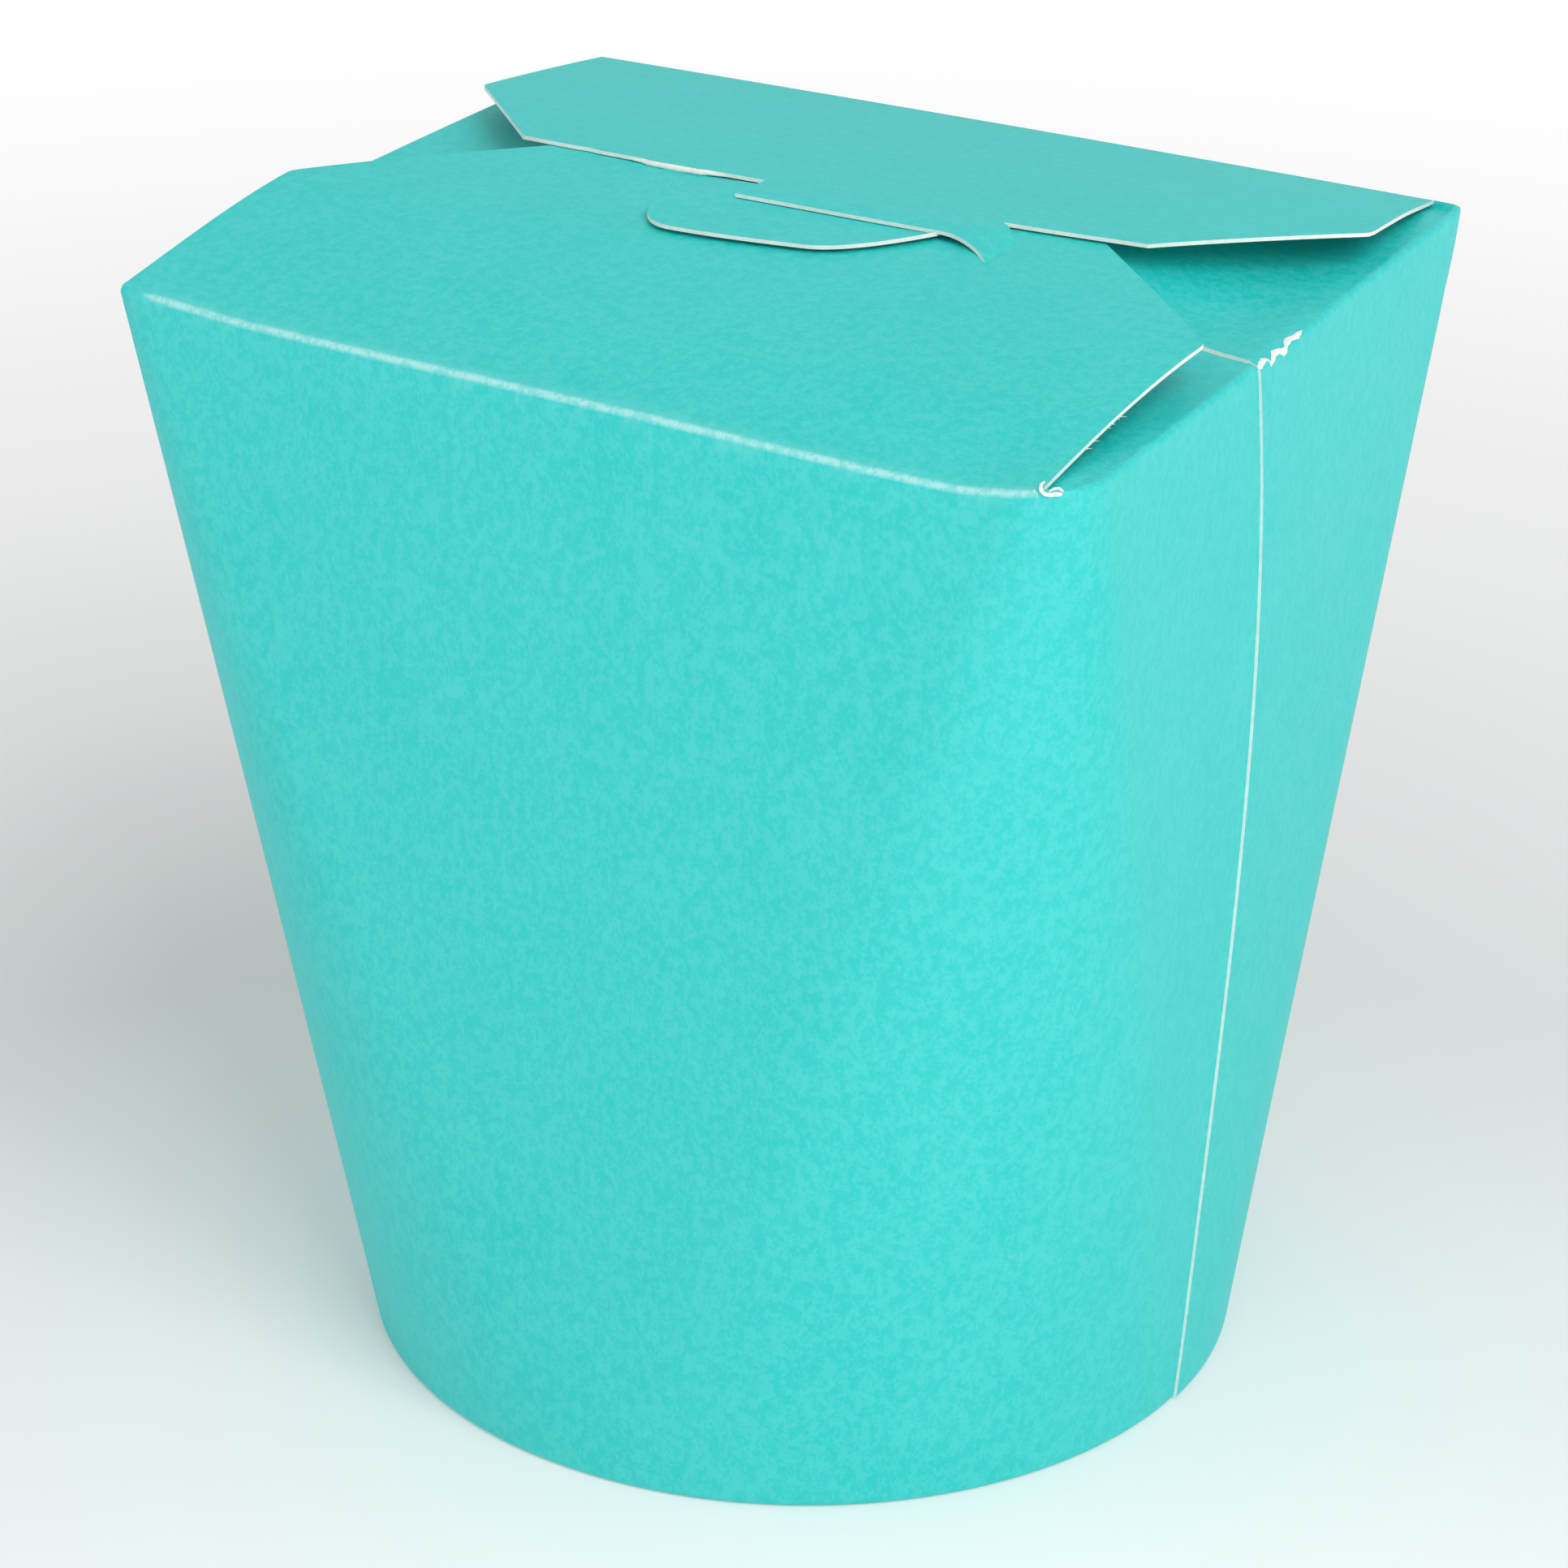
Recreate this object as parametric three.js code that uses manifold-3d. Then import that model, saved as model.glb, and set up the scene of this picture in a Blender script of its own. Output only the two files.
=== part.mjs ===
// A shut noodle takeaway box: one die-cut board blank, rolled round a base disc and glued down one side,
// its four top flaps folded in and held by a hooked tongue. The blank is one piece, so it is one solid.
// Millimetres, +Z up, front crease towards -Y, glued seam on +X, origin under the middle of the foot ring.
import * as THREE from "three";
import { mergeVertices } from "three/addons/utils/BufferGeometryUtils.js";
import Module from "manifold-3d";

const wasm = await Module();
wasm.setup();

// Body
const rimWidth = 100; // across the side creases
const rimDepth = 88; // from the front crease to the back crease
const rimHeight = 114.5;
const rimCorners = [5, 0.9, 0.9, 0.9]; // roundings: front right, back right, back left, front left
const frontBow = 1.6; // how far the middle of each crease stands out from its ends
const backBow = 0.6;
const sideBows = [0.15, 0.9]; // of the right and the left crease
const frontSkew = 1.7; // how far the front crease's right end lies forward, and its left end back
const sideSplays = [1.1, 2.2]; // how far out the front ends of the side creases stand from their back ones
const baseRadius = 45;
const board = 0.5;
const clearance = 0.3; // between the carton and its base disc

// Foot ring and base disc
const footWidth = 1.6;
const footDepth = 3;

// Front flap
const frontRoots = [-50.3, 46.4]; // x of both ends of its crease
const frontFree = [[49.3, -16], [30.3, 2.7], [25, 8], [-25, 8], [-30.3, 2.7], [-49.3, -16]]; // its free edge
const frontPlaces = [-16, 2.7, 8]; // y of its shoulders, chamfer ends and hidden rear edge
const frontRise = [4.35, 4.8, 4.0]; // height over the rim at those places

// Back flap, lying on the front flap
const backRoots = [-48.9, 46.7];
const backFree = [[48.9, 22.6], [34.4, 3], [0, 1.7], [-34, 2.4], [-49.3, 19.3]];
const backPlaces = [20.6, 1.7]; // y of its shoulders and its tip
const backRise = [3.3, 5.4];

// Side flaps, which dip in under the other two
const sideGap = 22; // how far in from the crease the space under the top flaps runs
const sideDip = 2.2;
const creaseWall = 1.2; // board left standing behind the front and back creases

// Lock: the tongue of the back flap, and the hook under it that lies on the front flap
const tongueLeft = -6.2;
const tongueStraight = 15; // where the tongue's front edge starts to curve
const tongueRight = 23.3; // where its ear passes under the front flap
const tongueFront = -4;
const tongueNeck = 20; // where its back edge leaves the back flap
const earFront = -8.4;
const earBack = -1.3;
const earSink = 3 * board; // how far the tongue comes down from over the hook to its ear
const hookRear = [-11.9, 2.7]; // hook corners, round its outline from behind its left end
const hookSide = [-12.2, -8.6];
const hookNose = [-8, -14.2];
const hookMiddle = [6, -12.8];
const hookTip = [15.6, -3.9];
const hookRound = [-11.2, -11]; // handles that round its left end: y below its side, x left of its nose
const hookSweep = [[-3.4, -14.2], [1.5, -13.5], [9.4, -12.3], [12.8, -8.5]]; // handles of its front edge

// Glued seam on the right side: the rear sheet laps over the front one
const seamBase = -2.8; // y of the lapping edge at the foot
const seamTop = -7.2; // y of it at the crease
const seamBow = [-0.5, 5.4]; // middle handles of its curve
const lapEnd = 12; // y where the lapping sheet is flush with the wall

const fine = 28; // steps on a rounded rim corner
const coarse = 10; // steps on a bowed side or a curved edge

/** A solid from a closed three.js geometry. */
function solidOf(geometry) {
  const bare = geometry.clone();
  bare.deleteAttribute("normal");
  bare.deleteAttribute("uv");
  const merged = mergeVertices(bare, 1e-4);
  return new wasm.Manifold(
    new wasm.Mesh({
      numProp: 3,
      vertProperties: merged.attributes.position.array,
      triVerts: new Uint32Array(merged.index.array),
    }),
  );
}

/** A three.js geometry from a solid. */
function geometryOf(solid) {
  const mesh = solid.getMesh();
  const geometry = new THREE.BufferGeometry();
  geometry.setAttribute("position", new THREE.BufferAttribute(mesh.vertProperties, 3));
  geometry.setIndex(new THREE.BufferAttribute(mesh.triVerts, 1));
  geometry.computeVertexNormals();
  return geometry;
}

/** Joins rings of equal length into a closed solid, each ring seen anticlockwise from the last one. */
function loft(rings) {
  const count = rings[0].length;
  const faces = [];
  for (let row = 0; row + 1 < rings.length; row++) {
    for (let i = 0; i < count; i++) {
      const a = row * count + i;
      const b = row * count + ((i + 1) % count);
      faces.push(a, b, b + count, a, b + count, a + count);
    }
  }
  for (let i = 1; i + 1 < count; i++) {
    const last = (rings.length - 1) * count;
    faces.push(0, i + 1, i, last, last + i, last + i + 1);
  }
  const geometry = new THREE.BufferGeometry().setFromPoints(rings.flat());
  geometry.setIndex(faces);
  return solidOf(geometry);
}

/** A plan outline, standing from one height to another. */
function upright(points, low, high) {
  const geometry = new THREE.ExtrudeGeometry(new THREE.Shape(points), {
    depth: high - low,
    bevelEnabled: false,
  });
  return solidOf(geometry.translate(0, 0, low));
}

/** An outline given as y, z, standing from one x to another. */
function sideways(points, left, right) {
  const geometry = new THREE.ExtrudeGeometry(new THREE.Shape(points), {
    depth: right - left,
    bevelEnabled: false,
  });
  const yToX = new THREE.Matrix4().set(0, 0, 1, left, 1, 0, 0, 0, 0, 1, 0, 0, 0, 0, 0, 1);
  return solidOf(geometry.applyMatrix4(yToX));
}

/** One bowed crease before its corners are rounded, from its half length, its distance and its bow. */
function crease(index, half, reach, bow) {
  const facing = ((index - 1) * Math.PI) / 2;
  const radius = (half * half + bow * bow) / (2 * bow);
  const start = facing - Math.asin((half - rimCorners.at(index - 1)) / radius);
  const end = facing + Math.asin((half - rimCorners[index]) / radius);
  const middle = new THREE.Vector2(reach + bow - radius, 0).rotateAround(new THREE.Vector2(), facing);
  return { facing, radius, start, end, middle };
}

const creases = [
  crease(0, rimWidth / 2, rimDepth / 2, frontBow),
  crease(1, rimDepth / 2, rimWidth / 2, sideBows[0]),
  crease(2, rimWidth / 2, rimDepth / 2, backBow),
  crease(3, rimDepth / 2, rimWidth / 2, sideBows[1]),
];

/** The point of an arc that faces along `angle`. */
function arcPoint(middle, radius, angle) {
  return new THREE.Vector2(middle.x + radius * Math.cos(angle), middle.y + radius * Math.sin(angle));
}

/** The rim isn't quite square: its front crease is turned a little and its side creases splay forward. */
function skewed(place) {
  const share = (place.x / (rimWidth / 2)) * (0.5 - place.y / rimDepth);
  const splay = place.x > 0 ? sideSplays[0] : sideSplays[1];
  return new THREE.Vector2(place.x + share * splay, place.y - share * frontSkew);
}

/** The rim in plan: pairs of the way each point faces and where it lies. */
function rimPoints() {
  const points = [];
  creases.forEach((side, i) => {
    const corner = rimCorners[i];
    const next = creases[(i + 1) % creases.length];
    for (let step = 0; step < coarse; step++) {
      const angle = THREE.MathUtils.lerp(side.start, side.end, step / coarse);
      points.push({ angle, place: skewed(arcPoint(side.middle, side.radius, angle)) });
    }
    const turn = next.start - side.end + (i === creases.length - 1 ? 2 * Math.PI : 0);
    const from = arcPoint(side.middle, side.radius - corner, side.end);
    const to = arcPoint(next.middle, next.radius - corner, next.start);
    for (let step = 0; step < fine; step++) {
      const share = step / fine;
      const angle = side.end + turn * share;
      points.push({ angle, place: skewed(arcPoint(from.clone().lerp(to, share), corner, angle)) });
    }
  });
  return points;
}

/** The wall: each straight line of it joins a rim point to the foot point that faces the same way. */
function wallSolid() {
  const rim = rimPoints();
  const foot = rim.map(({ angle }) =>
    new THREE.Vector3(baseRadius * Math.cos(angle), baseRadius * Math.sin(angle), 0));
  return loft([foot, rim.map(({ place }) => new THREE.Vector3(place.x, place.y, rimHeight))]);
}

/** The rear sheet of the glued seam, standing off the wall by a board's thickness at its edge. */
function lapSolid(wall) {
  const edge = new THREE.CubicBezierCurve(
    new THREE.Vector2(seamBase, 0),
    new THREE.Vector2(seamBow[0], rimHeight / 3),
    new THREE.Vector2(seamBow[1], (2 * rimHeight) / 3),
    new THREE.Vector2(seamTop, rimHeight),
  );
  const rear = [new THREE.Vector2(lapEnd, rimHeight), new THREE.Vector2(lapEnd, 0)];
  const outline = [...edge.getPoints(2 * coarse), ...rear];
  const lean = Math.atan(board / (lapEnd - seamTop));
  const turned = wall
    .translate([-rimWidth / 2, -lapEnd, 0])
    .rotate([0, 0, THREE.MathUtils.radToDeg(lean)])
    .translate([rimWidth / 2, lapEnd, 0]);
  return turned.intersect(sideways(outline.reverse(), rimWidth / 3, rimWidth));
}

/** The hollow foot that the base disc closes. */
function footHollow() {
  const radius = baseRadius - footWidth;
  const height = footDepth + board + clearance;
  const drum = new THREE.CylinderGeometry(radius, radius, 2 * height, 4 * fine);
  return solidOf(drum.rotateX(Math.PI / 2));
}

/** The space over a side flap, from its crease inwards, between two y. */
function sideSpace(side, from, to, lift) {
  const outer = rimWidth / 2 + Math.max(...sideBows) + Math.max(...sideSplays);
  const inner = rimWidth / 2 - sideGap;
  const high = rimHeight + sideDip;
  const outline = [
    [outer, rimHeight + lift],
    [outer, high],
    [inner, high],
    [inner, rimHeight - sideDip + lift],
  ].map(([x, z]) => new THREE.Vector2(side * x, z));
  const geometry = new THREE.ExtrudeGeometry(new THREE.Shape(outline), {
    depth: to - from,
    bevelEnabled: false,
  });
  return solidOf(geometry.rotateX(Math.PI / 2).translate(0, to, 0));
}

/** The top face of the front flap or the back flap, as y, z from its crease to its free end. */
function flapCurve(places, rises) {
  const points = places.map((y, i) => new THREE.Vector2(y, rimHeight + rises[i]));
  return new THREE.SplineCurve(points).getPoints(2 * coarse);
}

const creaseEnds = [-rimDepth / 2 - frontBow - frontSkew, -rimDepth / 2 + frontSkew]; // front crease, in y
const frontCurve = flapCurve([...creaseEnds, ...frontPlaces], [0, 0, ...frontRise]);
const backCurve = flapCurve([rimDepth / 2 + backBow, ...backPlaces], [0, ...backRise]);
const backTip = backPlaces[1];

/** A sheet along a curve, as wide as the box, between two heights over the curve. */
function sheetAlong(curve, low, high) {
  const under = curve.map((p) => new THREE.Vector2(p.x, p.y + low)).reverse();
  const over = curve.map((p) => new THREE.Vector2(p.x, p.y + high));
  return sideways([...over, ...under], -rimWidth, rimWidth);
}

/** The stretch of the front or the back crease between two x, from left to right. */
function foldLine(side, [left, right]) {
  const way = -Math.sin(side.facing);
  const places = [...Array(coarse + 1).keys()].map((i) => THREE.MathUtils.lerp(left, right, i / coarse));
  const angles = places.map((x) => side.facing + way * Math.asin(x / side.radius));
  return angles.map((angle) => skewed(arcPoint(side.middle, side.radius - board / 2, angle)));
}

/** A top flap: the sheet under its curve, cut out in plan. */
function flap(free, foldedOn, curve) {
  const outline = [...free.map(([x, y]) => new THREE.Vector2(x, y)), ...foldedOn];
  return upright(outline, 0, 2 * rimHeight).intersect(sheetAlong(curve, -board, 0));
}

/** What fills the shut box under its top flaps, between the spaces at the two sides. */
function fillUnderFlaps() {
  const half = rimWidth / 2 - sideGap;
  const under = [
    ...frontCurve.filter((p) => p.x < backTip && p.x > -rimDepth / 2),
    ...backCurve.filter((p) => p.x >= backTip && p.x < rimDepth / 2).reverse(),
  ].map((p) => new THREE.Vector2(p.x, p.y - board / 2));
  const first = under[0];
  const last = under[under.length - 1];
  const floor = rimHeight - 2 * sideDip;
  const outline = [...under, new THREE.Vector2(last.x, floor), new THREE.Vector2(first.x, floor)];
  return sideways(outline.reverse(), -half, half);
}

/** The hook: a rounded leaf that lies on the front flap, partly under the tongue. */
function hookLeaf() {
  const leaf = new THREE.Shape();
  leaf.moveTo(...hookRear);
  leaf.quadraticCurveTo(hookSide[0], hookSide[1] / 2, ...hookSide);
  leaf.bezierCurveTo(hookSide[0], hookRound[0], hookRound[1], hookNose[1], ...hookNose);
  leaf.bezierCurveTo(...hookSweep[0], ...hookSweep[1], ...hookMiddle);
  leaf.bezierCurveTo(...hookSweep[2], ...hookSweep[3], ...hookTip);
  leaf.lineTo(hookTip[0], hookRear[1]);
  const outline = leaf.getPoints(coarse);
  return upright(outline, 0, 2 * rimHeight).intersect(sheetAlong(frontCurve, -board / 2, board));
}

/** The tongue: it lies over the hook and sinks to the right until its ear is under the front flap. */
function tongue() {
  const over = rimHeight + frontRise[1] + 2 * board;
  const sections = [];
  for (let step = 0; step <= coarse; step++) {
    const turn = ((Math.PI / 2) * step) / coarse;
    const x = tongueStraight + (tongueRight - tongueStraight) * Math.sin(turn);
    const front = tongueFront - (tongueFront - earFront) * (1 - Math.cos(turn));
    const past = Math.max(0, x - tongueNeck) / (tongueRight - tongueNeck);
    const back = THREE.MathUtils.lerp(backTip + board, earBack, past * past);
    sections.push({ x, front, back, top: over - earSink * (1 - Math.cos(turn)) });
  }
  sections.unshift({ x: tongueLeft, front: tongueFront, back: backTip + board, top: over });
  return loft(sections.map(({ x, front, back, top }) => [
    new THREE.Vector3(x, front, top - 2 * board),
    new THREE.Vector3(x, back, top - 2 * board),
    new THREE.Vector3(x, back, top - board / 2),
    new THREE.Vector3(x, front, top),
  ]));
}

function cartonSolid() {
  const wall = wallSolid();
  const behind = rimDepth / 2 - creaseWall;
  return wall
    .add(lapSolid(wall))
    .subtract(footHollow())
    .subtract(sideSpace(1, -behind, seamTop, 0))
    .subtract(sideSpace(1, seamTop, behind, board))
    .subtract(sideSpace(-1, -behind, behind, 0))
    .add(fillUnderFlaps())
    .add(flap(frontFree, foldLine(creases[0], frontRoots), frontCurve))
    .add(flap(backFree, foldLine(creases[2], backRoots), backCurve))
    .add(hookLeaf())
    .add(tongue());
}

function baseDisc() {
  const radius = baseRadius - footWidth - clearance;
  const disc = new THREE.CylinderGeometry(radius, radius, board, 4 * fine);
  return disc.rotateX(Math.PI / 2);
}

const printedBoard = new THREE.MeshStandardMaterial({ color: 0x4bd0c8, roughness: 0.75, metalness: 0 });
const baseBoard = new THREE.MeshStandardMaterial({ color: 0x46c8c0, roughness: 0.8, metalness: 0 });

const carton = new THREE.Mesh(geometryOf(cartonSolid()), printedBoard);
carton.name = "carton";

const disc = new THREE.Mesh(baseDisc(), baseBoard);
disc.name = "base_disc";
disc.position.z = footDepth + board / 2;

const group = new THREE.Group();
group.add(carton, disc);

export default group;
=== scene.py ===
import math
import random

import bmesh
import bpy
import numpy as np
from bpy.props import FloatProperty, FloatVectorProperty, IntProperty, PointerProperty
from mathutils import Matrix, Vector


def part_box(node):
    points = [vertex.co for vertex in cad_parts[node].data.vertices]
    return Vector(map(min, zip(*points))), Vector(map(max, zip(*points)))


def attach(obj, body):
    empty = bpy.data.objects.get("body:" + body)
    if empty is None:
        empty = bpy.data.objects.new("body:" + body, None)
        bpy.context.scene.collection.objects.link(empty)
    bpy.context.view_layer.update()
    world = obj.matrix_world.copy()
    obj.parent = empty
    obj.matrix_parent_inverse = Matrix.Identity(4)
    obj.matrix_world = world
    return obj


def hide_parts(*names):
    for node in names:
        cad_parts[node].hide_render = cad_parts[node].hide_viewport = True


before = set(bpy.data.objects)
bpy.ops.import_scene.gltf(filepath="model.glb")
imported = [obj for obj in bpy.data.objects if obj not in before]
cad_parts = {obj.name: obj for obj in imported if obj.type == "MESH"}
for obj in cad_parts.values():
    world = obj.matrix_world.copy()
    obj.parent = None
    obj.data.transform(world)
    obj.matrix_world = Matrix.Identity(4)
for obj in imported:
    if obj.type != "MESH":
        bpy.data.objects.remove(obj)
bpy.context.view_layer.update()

bl_info = {
    "name": "Noodle takeaway box",
    "version": (1, 0, 0),
    "blender": (4, 5, 0),
    "location": "3D View > Sidebar > Noodle box",
    "description": "Builds a shut noodle takeaway box from folded board",
    "category": "Add Mesh",
}

BODY = "root"
MM = 0.001
PRINTED, BARE = 0, 1  # material places on every board piece


class NoodleBoxSizes(bpy.types.PropertyGroup):
    """Sizes of the folded box."""

    rim_width: FloatProperty(
        name="Rim width", description="Across the side creases", default=0.100, unit="LENGTH"
    )
    rim_depth: FloatProperty(
        name="Rim depth", description="From front crease to back crease", default=0.088, unit="LENGTH"
    )
    rim_height: FloatProperty(
        name="Rim height", description="From the table to the creases", default=0.1145, unit="LENGTH"
    )
    rim_corners: FloatVectorProperty(
        name="Rim corners", description="Roundings: front right, back right, back left, front left",
        size=4, default=(0.0055, 0.0009, 0.0009, 0.0014), unit="LENGTH",
    )
    front_bow: FloatProperty(
        name="Front bow", description="How far the front crease bulges", default=0.0016, unit="LENGTH"
    )
    back_bow: FloatProperty(
        name="Back bow", description="How far the back crease bulges", default=0.0006, unit="LENGTH"
    )
    side_bows: FloatVectorProperty(
        name="Side bows", description="How far the right and the left crease bulge",
        size=2, default=(0.00015, 0.0009), unit="LENGTH",
    )
    front_skew: FloatProperty(
        name="Front skew", description="How far the front crease's right end lies forward",
        default=0.0017, unit="LENGTH",
    )
    side_splays: FloatVectorProperty(
        name="Side splays", description="How far the front ends of the right and left creases stand out",
        size=2, default=(0.0011, 0.0021), unit="LENGTH",
    )
    base_radius: FloatProperty(
        name="Base radius", description="Of the round foot", default=0.045, unit="LENGTH"
    )
    board: FloatProperty(
        name="Board", description="Thickness of the board", default=0.00038, unit="LENGTH"
    )
    fold: FloatProperty(
        name="Fold", description="Rounding of a crease", default=0.0008, unit="LENGTH"
    )
    foot_depth: FloatProperty(
        name="Foot depth", description="From the table to the base disc", default=0.003, unit="LENGTH"
    )
    seed: IntProperty(name="Seed", description="Of the torn fibres", default=4)


class NoodleBoxLooks(bpy.types.PropertyGroup):
    """Colours and finish of the board."""

    teal: FloatVectorProperty(
        name="Teal", description="Printed face", subtype="COLOR", size=3, default=(0.0, 0.62, 0.585)
    )
    pale: FloatVectorProperty(
        name="Pale flecks", description="Lighter flecks in the print", subtype="COLOR", size=3,
        default=(0.055, 0.68, 0.655),
    )
    scuffed: FloatVectorProperty(
        name="Scuffed", description="Print worn at a fold", subtype="COLOR", size=3,
        default=(0.40, 0.83, 0.81),
    )
    bare: FloatVectorProperty(
        name="Bare board", description="Cut and torn edges", subtype="COLOR", size=3,
        default=(0.95, 0.94, 0.90),
    )
    roughness: FloatProperty(
        name="Roughness", description="Of the printed face", default=0.52, min=0, max=1
    )
    shine: FloatProperty(
        name="Shine", description="Specular level of the printed face", default=0.62, min=0, max=1
    )
    grain: FloatProperty(
        name="Grain", description="Depth of the fibre relief", default=0.00005, unit="LENGTH"
    )


class NoodleBoxStage(bpy.types.PropertyGroup):
    """The floor and the camera."""

    floor: FloatProperty(name="Floor", description="Width of the floor", default=8.0, unit="LENGTH")
    azimuth: FloatProperty(
        name="Azimuth", description="Of the camera", default=math.radians(28.5), subtype="ANGLE"
    )
    elevation: FloatProperty(
        name="Elevation", description="Of the camera", default=math.radians(25.1), subtype="ANGLE"
    )
    roll: FloatProperty(
        name="Roll", description="Of the camera", default=math.radians(0.486), subtype="ANGLE"
    )
    distance: FloatProperty(
        name="Distance", description="From the aim to the camera", default=0.5243, unit="LENGTH"
    )
    aim: FloatProperty(
        name="Aim height", description="Height the camera looks at", default=0.0572, unit="LENGTH"
    )
    lens: FloatProperty(name="Lens", description="Focal length in millimetres", default=118.77)


# Places in plan and heights over the rim, in mm
FRONT_CREASE, BACK_CREASE = -45.5, 44.5
FRONT_ROOTS = (-51.4, 47.2)  # left and right end of the crease
FRONT_SHOULDERS = ((-49.4, -16.0), (49.0, -16.0))
FRONT_TIPS = ((-30.3, 2.7), (30.3, 2.7))
FRONT_REAR = 8.0
FRONT_SWAYS = (1.0, 1.45)  # how late each side spreads from its root to its shoulder
FRONT_RISE = (4.35, 4.8, 4.2)  # at the shoulders, the tips and the rear
FRONT_SAG = (  # how far the front crease hangs below the rim: x, depth
    (-49.0, 0.0), (-36.0, 0.45), (-24.0, 0.4), (-8.0, 0.32), (8.0, 0.42), (20.0, 0.68), (32.0, 1.0),
    (39.5, 1.1), (43.5, 0.6), (47.5, 0.0),
)
BACK_ROOTS = (-49.3, 46.7)
BACK_SHOULDERS = ((-49.3, 19.4), (48.9, 22.3))
BACK_TIPS = ((-34.0, 2.4), (34.3, 3.1))
BACK_MIDDLE, BACK_TIP = 20.6, 1.7
BACK_RISE = (3.3, 5.3)  # at BACK_MIDDLE and BACK_TIP
CROWN, BACK_LIFT = 0.15, 0.3
TONGUE_LEFT, TONGUE_RIGHT, TONGUE_FRONT, TONGUE_BEND = -6.2, 20.0, -4.0, 15.0
TONGUE_SINK, TONGUE_HUMP, TONGUE_HELD = 1.05, 0.1, 0.5
TONGUE_OVER, LEAF_OVER, LEAF_CURL = 0.98, 0.5, 0.3
LEAF_REAR, LEAF_END = ((-11.6, 2.4), (15.6, 2.4)), (15.6, -3.9)
LEAF_OUTLINE = (  # handles of the curves from the leaf's left end, round its nose to its right end
    ((-11.8, -2.0), (-12.1, -4.0), (-12.2, -6.4), (-12.2, -8.6)),
    ((-12.2, -8.6), (-12.2, -11.0), (-10.8, -14.0), (-8.0, -14.2)),
    ((-8.0, -14.2), (-3.4, -14.2), (1.5, -13.5), (6.0, -12.8)),
    ((6.0, -12.8), (9.4, -12.3), (12.8, -8.5), LEAF_END),
)
SIDE_REACH, SIDE_INNER, SIDE_BEND = 33.0, 14.0, 3.5
SIDE_LOWEST, SIDE_RISE = -1.9, 7.0
SIDE_UNDER = 2.4  # how far a side flap stays below the others, in thicknesses of the board
FLARE = 1.5  # the wall's skew sets in late on the way up
LAP_LIFT = 0.85  # how far the lapping sheet stands off the wall, as a share of the board's thickness
LAP_COLUMNS = 20  # the columns over which it comes back to the wall
FOOT_ROLL = 0.75 * MM  # radius of the rolled foot
WORN_WIDTH = 2.4 * MM  # how far the wear of a crease reaches
SHARP = math.radians(38)  # edges that turn by more stay sharp

# The tear along the right crease: distance behind its start, distance onto the flap, half width, in mm
TEAR = (
    (-0.9, -0.1, 0.36), (0.3, 0.15, 0.42), (0.9, 0.35, 0.36), (1.3, 0.1, 0.26), (1.5, -0.65, 0.2),
    (2.1, -0.3, 0.42), (3.1, 0.25, 0.46), (3.9, 0.1, 0.48), (4.7, -0.35, 0.48), (5.3, -0.25, 0.4),
    (5.7, 0.15, 0.36), (6.4, 0.4, 0.44), (7.0, 0.55, 0.36), (7.6, 0.4, 0.42), (8.4, 0.2, 0.42),
    (9.1, 0.4, 0.3), (9.8, 0.45, 0.03),
)
TEAR_START = -7.1
# The strip curled up at the end of the front flap's right edge: x, y and radius, in mm
CURL = (
    (46.9, -43.9, 0.11), (46.85, -44.45, 0.16), (47.15, -45.2, 0.17), (47.75, -45.75, 0.18),
    (48.45, -45.85, 0.19), (48.95, -45.5, 0.19), (49.05, -44.95, 0.18), (48.85, -44.45, 0.16),
    (48.4, -44.2, 0.15), (48.05, -44.5, 0.13), (47.85, -45.0, 0.08),
)
# The strip that hangs torn from the back flap's free edge: x and radius, in mm
FRAY = (
    (-21.4, 0.04), (-20.2, 0.14), (-18.6, 0.22), (-16.8, 0.28), (-15.4, 0.3), (-14.4, 0.24), (-13.2, 0.28),
    (-12.0, 0.18), (-10.4, 0.05),
)

SKY_STRENGTH = 0.64
KEY_PLACE, KEY_AIM, KEY_WIDTH, KEY_POWER = (0.60, -0.40, 0.78), (0, 0, 0.06), 0.6, 4.3
CAMERA_SHIFT, SENSOR_WIDTH = (-0.0144, 0.001), 36
# Painted light on the floor: patches of emission that glow like a pool of light
FLOOR_GLOWS = (  # middle, near and far distance in metres, glow at each
    ((0.10, -0.18, 0), 0.04, 0.28, 0.35, 0.0),
    ((0, 0, 0), 0.1, 0.45, 0.03, 0.4),
)


def lerp(a, b, share):
    """The value at a share of the way from a to b."""
    return a + (b - a) * share


def ease(share):
    """A smooth step from 0 to 1."""
    s = min(max(share, 0.0), 1.0)
    return s * s * (3 - 2 * s)


def hermite(a, b, slope_a, slope_b, share):
    """A curve from a to b with those slopes at its ends."""
    s = share
    ends = a * (1 + 2 * s) * (1 - s) ** 2 + b * s * s * (3 - 2 * s)
    return ends + slope_a * s * (1 - s) ** 2 + slope_b * s * s * (s - 1)


def bezier(points, share):
    """A point of a cubic curve with those four handles."""
    a, b, c, d = (Vector(p) for p in points)
    s = share
    return a * (1 - s) ** 3 + b * 3 * s * (1 - s) ** 2 + c * 3 * s * s * (1 - s) + d * s**3


def bell(x, middle, width, power=2):
    """A bump of height 1 at its middle."""
    return math.exp(-(((x - middle) / width) ** power))


def over_rim(size, plan, height):
    """The point at that place in plan and height over the rim, both in mm."""
    return MM * Vector((*plan, size.rim_height / MM + height))


def direction(angle):
    """The plan vector of length 1 at an angle."""
    return Vector((math.cos(angle), math.sin(angle)))


def front_sag(x, y):
    """How far in mm the rim hangs at x, y: only the front crease does."""
    places, depths = zip(*FRONT_SAG)
    return float(np.interp(x, places, depths)) if y < -0.75 * abs(x) else 0.0


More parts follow.
